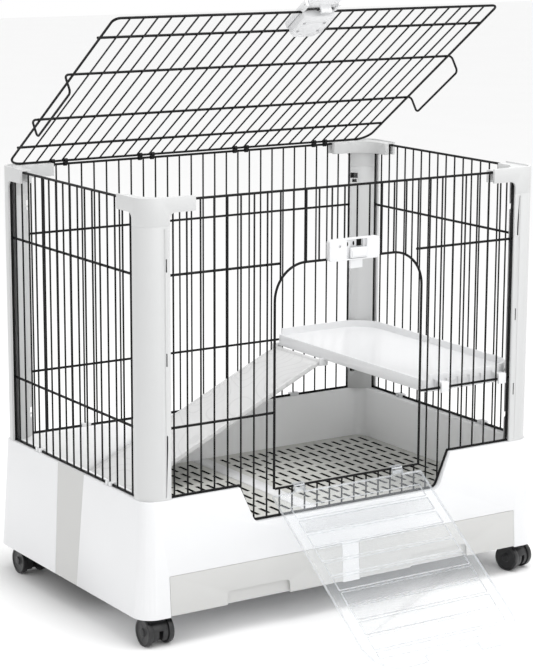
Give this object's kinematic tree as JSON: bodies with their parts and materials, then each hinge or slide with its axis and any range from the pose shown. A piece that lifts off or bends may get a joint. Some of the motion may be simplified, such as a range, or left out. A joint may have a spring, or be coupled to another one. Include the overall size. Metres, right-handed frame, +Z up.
{
  "type": "wire rabbit cage",
  "caption": "Wire rabbit cage on a flared plastic base with casters, hinged wire lid, clear fold-down entry ramp, shelf, inner ramp and litter drawers.",
  "frame": {"origin": "centre of the bounding box's footprint, on the floor that the casters stand on", "axes": "+X along the front panel towards the shelf, +Y from the entry ramp towards the back panel, +Z up"},
  "size_m": [0.8094, 0.8096, 1.0227],
  "materials": {
    "gloss_white": "smooth moulded white plastic",
    "post_grey": "satin light grey moulded plastic",
    "trim_grey": "fine-grained light grey plastic",
    "mat_grey": "warm grey moulded plastic",
    "black_wire": "black coated steel wire",
    "clear_plastic": "clear moulded plastic",
    "caster_black": "black moulded plastic",
    "plain_steel": "plain steel"
  },
  "bodies": {
    "cage": {"base_skirt": "gloss_white", "tub_liner": "gloss_white", "mat_ledge": "gloss_white", "base_floor": "gloss_white", "center_beam": "gloss_white", "rim_clips": "gloss_white", "door_latch_box": "gloss_white", "shelf": "gloss_white", "shelf_hooks": "gloss_white", "post_fl": "post_grey", "post_fr": "post_grey", "post_bl": "post_grey", "post_br": "post_grey", "post_cover_fl": "post_grey", "post_cover_fr": "post_grey", "post_cover_bl": "post_grey", "post_cover_br": "post_grey", "corner_cap_fl": "post_grey", "corner_cap_fr": "post_grey", "corner_cap_bl": "post_grey", "corner_cap_br": "post_grey", "end_strip_left": "trim_grey", "end_strip_right": "trim_grey", "floor_mat_left": "mat_grey", "floor_mat_right": "mat_grey", "back_panel": "black_wire", "left_panel": "black_wire", "right_panel": "black_wire", "front_panel_left": "black_wire", "front_panel_right": "black_wire", "front_panel_header": "black_wire", "front_panel_sill": "black_wire", "hinge_loops": "black_wire", "caster_sockets": "caster_black"},
    "lid": {"lid_mesh": "black_wire", "lid_bails": "black_wire", "lid_latch_base": "gloss_white", "lid_latch_cover": "gloss_white", "lid_latch_pin": "plain_steel", "lid_latch_screws": "plain_steel"},
    "lid_lever": {"lid_latch_lever": "gloss_white"},
    "entry_ramp": {"ramp_door": "clear_plastic"},
    "door_slider": {"door_latch_slider": "gloss_white"},
    "drawer_left": {"drawer_left": "trim_grey"},
    "drawer_right": {"drawer_right": "trim_grey"},
    "inner_ramp": {"inner_ramp": "post_grey"},
    "caster_fl": {"caster_hood_fl": "caster_black"},
    "wheels_fl": {"caster_wheels_fl": "caster_black", "caster_axle_fl": "plain_steel"},
    "caster_fr": {"caster_hood_fr": "caster_black"},
    "wheels_fr": {"caster_wheels_fr": "caster_black", "caster_axle_fr": "plain_steel"},
    "caster_bl": {"caster_hood_bl": "caster_black"},
    "wheels_bl": {"caster_wheels_bl": "caster_black", "caster_axle_bl": "plain_steel"},
    "caster_br": {"caster_hood_br": "caster_black"},
    "wheels_br": {"caster_wheels_br": "caster_black", "caster_axle_br": "plain_steel"}
  },
  "joints": [
    {"name": "lid_hinge", "type": "hinge", "parent": "cage", "child": "lid", "pos_m": [0, 0.38195, 0.724], "axis": [-1, 0, 0], "range_deg": [-35, 75]},
    {"name": "lid_lever_hinge", "type": "hinge", "parent": "lid", "child": "lid_lever", "pos_m": [0, -0.01747, 1.00612], "axis": [1, 0, 0], "range_deg": [0, 20]},
    {"name": "entry_ramp_hinge", "type": "hinge", "parent": "cage", "child": "entry_ramp", "pos_m": [0, -0.10105, 0.2255], "axis": [-1, 0, 0], "range_deg": [0, 124.3]},
    {"name": "door_slider_slide", "type": "slide", "parent": "cage", "child": "door_slider", "axis": [0, 0, 1], "range_m": [0, 0.012]},
    {"name": "drawer_left_slide", "type": "slide", "parent": "cage", "child": "drawer_left", "axis": [0, -1, 0], "range_m": [0, 0.115]},
    {"name": "drawer_right_slide", "type": "slide", "parent": "cage", "child": "drawer_right", "axis": [0, -1, 0], "range_m": [0, 0.115]},
    {"name": "inner_ramp_hinge", "type": "hinge", "parent": "cage", "child": "inner_ramp", "pos_m": [0.16825, 0.29845, 0.34], "axis": [0, 1, 0], "range_deg": [0, 60]},
    {"name": "caster_fl_swivel", "type": "hinge", "parent": "cage", "child": "caster_fl", "pos_m": [-0.36825, -0.08105, 0.046], "axis": [0, 0, 1], "continuous": true},
    {"name": "wheels_fl_roll", "type": "hinge", "parent": "caster_fl", "child": "wheels_fl", "pos_m": [-0.36825, -0.09605, 0.023], "axis": [1, 0, 0], "continuous": true},
    {"name": "caster_fr_swivel", "type": "hinge", "parent": "cage", "child": "caster_fr", "pos_m": [0.36825, -0.08105, 0.046], "axis": [0, 0, 1], "continuous": true},
    {"name": "wheels_fr_roll", "type": "hinge", "parent": "caster_fr", "child": "wheels_fr", "pos_m": [0.37213, -0.09554, 0.023], "axis": [0.9659, 0.2588, 0], "continuous": true},
    {"name": "caster_bl_swivel", "type": "hinge", "parent": "cage", "child": "caster_bl", "pos_m": [-0.36825, 0.36435, 0.046], "axis": [0, 0, 1], "continuous": true},
    {"name": "wheels_bl_roll", "type": "hinge", "parent": "caster_bl", "child": "wheels_bl", "pos_m": [-0.36825, 0.34935, 0.023], "axis": [1, 0, 0], "continuous": true},
    {"name": "caster_br_swivel", "type": "hinge", "parent": "cage", "child": "caster_br", "pos_m": [0.36825, 0.36435, 0.046], "axis": [0, 0, 1], "continuous": true},
    {"name": "wheels_br_roll", "type": "hinge", "parent": "caster_br", "child": "wheels_br", "pos_m": [0.35861, 0.35286, 0.023], "axis": [0.766, -0.6428, 0], "continuous": true}
  ]
}
